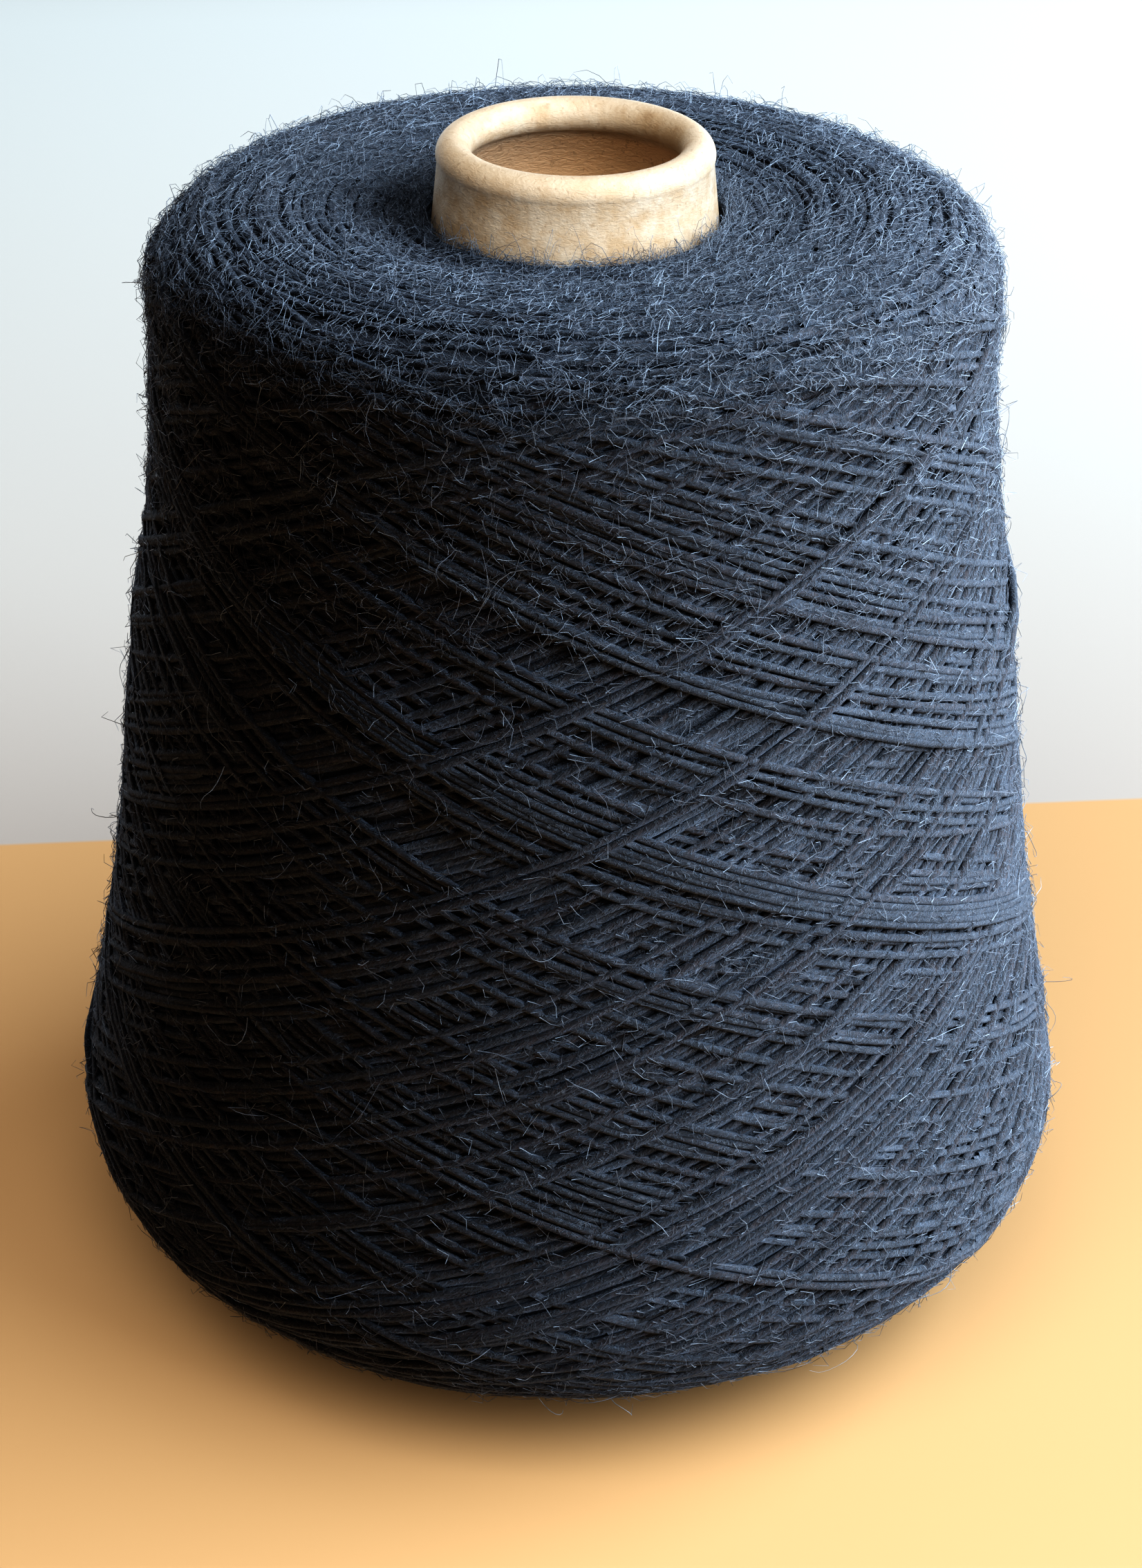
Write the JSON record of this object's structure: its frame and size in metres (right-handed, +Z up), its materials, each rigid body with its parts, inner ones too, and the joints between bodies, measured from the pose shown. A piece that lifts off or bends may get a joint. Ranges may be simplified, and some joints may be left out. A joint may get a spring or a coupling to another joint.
{
  "type": "cone of yarn",
  "caption": "Wool yarn cross-wound on a tapered paper cone with a rolled nose, standing on the cone's wide end.",
  "frame": {"origin": "centre of the paper cone's base, on the surface it stands on", "axes": "+Z up along the cone's axis, towards the rolled nose"},
  "size_m": [0.1449, 0.1445, 0.17],
  "materials": {
    "paper": "matt recycled board, mottled",
    "yarn": "charcoal plied wool, hairy"
  },
  "bodies": {
    "root": {"paper_cone": "paper", "wound_yarn": "yarn"}
  },
  "joints": []
}
